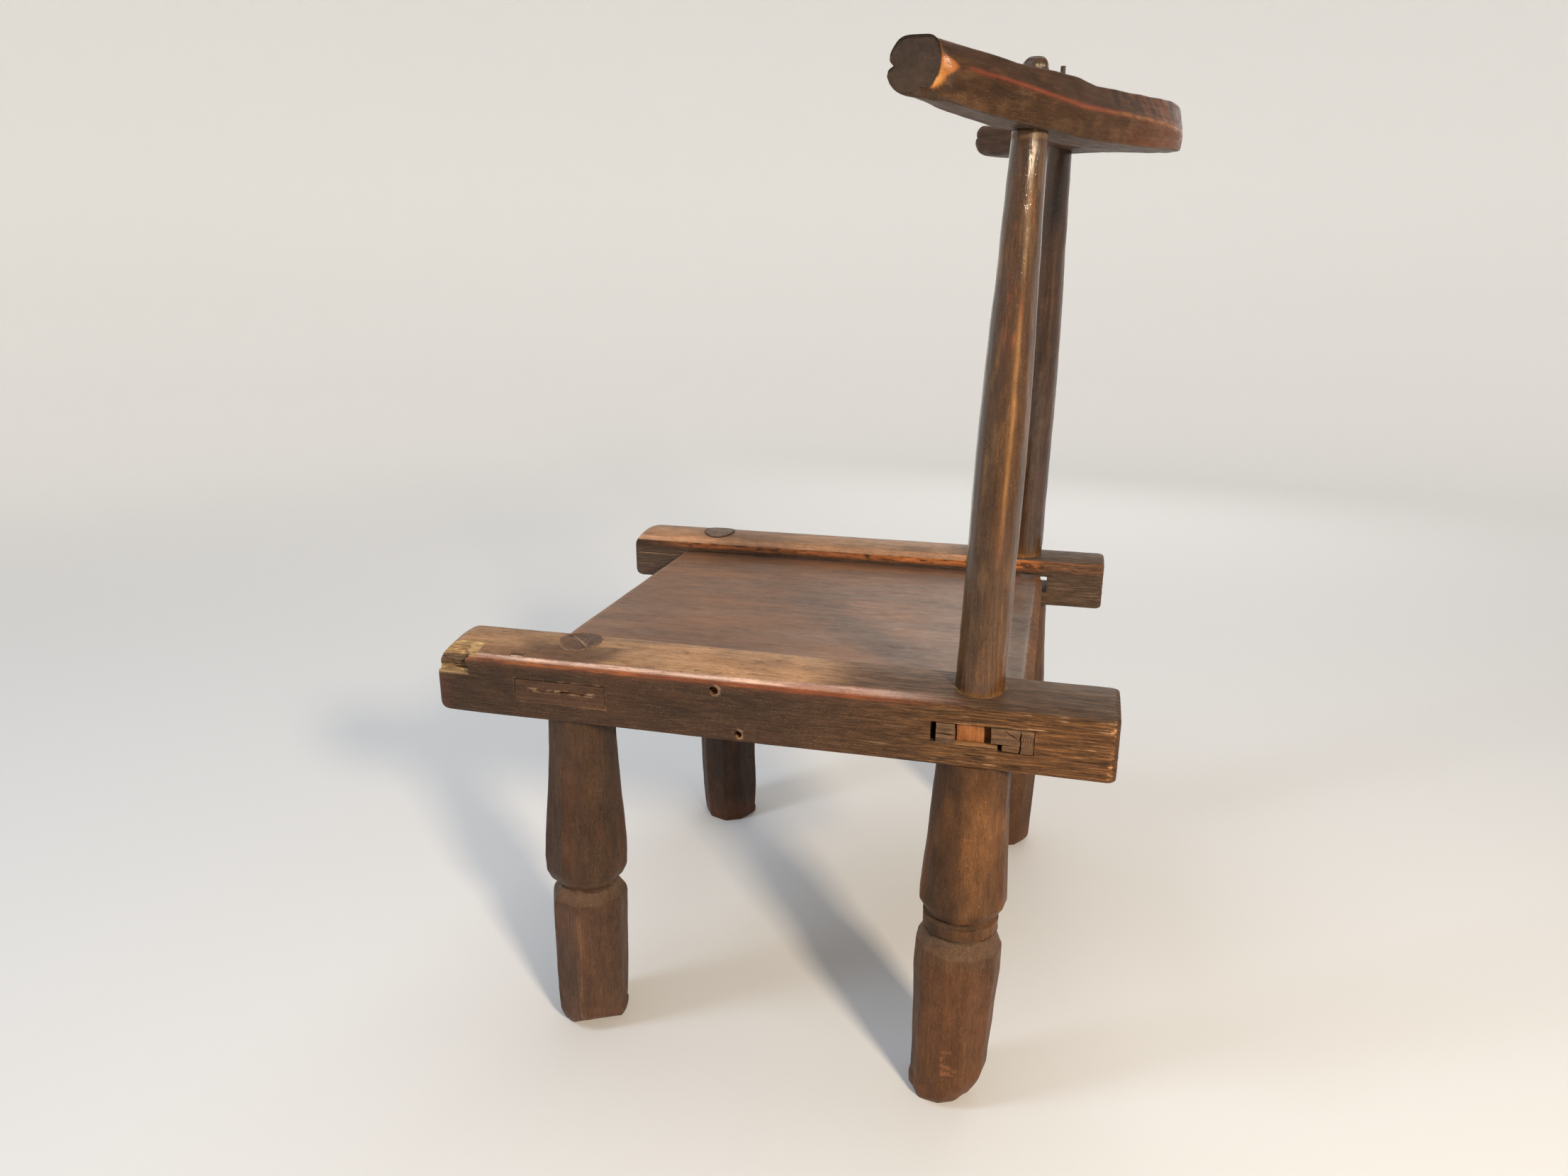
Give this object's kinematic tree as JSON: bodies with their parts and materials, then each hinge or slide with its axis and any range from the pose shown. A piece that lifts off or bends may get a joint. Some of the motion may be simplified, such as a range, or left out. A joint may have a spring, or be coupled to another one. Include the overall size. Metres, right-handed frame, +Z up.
{
  "type": "low chair with curved neck and back rest",
  "caption": "Low carved wooden chair: plank seat tenoned between side rails, turned-looking legs, posts and a curved crest for the back or neck.",
  "frame": {"origin": "on the floor, under the middle of the chair's bounding box", "axes": "+Z up; the chair faces -Y, its back is at +Y, the sitter's left side is at +X"},
  "size_m": [0.4444, 0.4285, 0.6137],
  "materials": {
    "rail_wood": "hand-worn, dark and satin, tan on top and reddish on the arrises",
    "seat_wood": "smooth, worn, grey-brown satin",
    "leg_wood": "matte, hewn facets with a speckled grain",
    "post_wood": "dark and glossy with golden streaks",
    "crest_wood": "dark, satin, worn red-orange on the ridge",
    "fresh_wood": "paler matte wood",
    "iron": "dark, rusted"
  },
  "bodies": {
    "root": {"left_side_rail": "rail_wood", "right_side_rail": "rail_wood", "seat_board": "seat_wood", "front_left_leg": "leg_wood", "front_right_leg": "leg_wood", "rear_left_leg_post": "post_wood", "rear_right_leg_post": "post_wood", "crest_rail": "crest_wood", "front_left_tenon_wedge": "fresh_wood", "rear_left_mortise_sliver": "leg_wood", "crest_nail": "iron"}
  },
  "joints": []
}
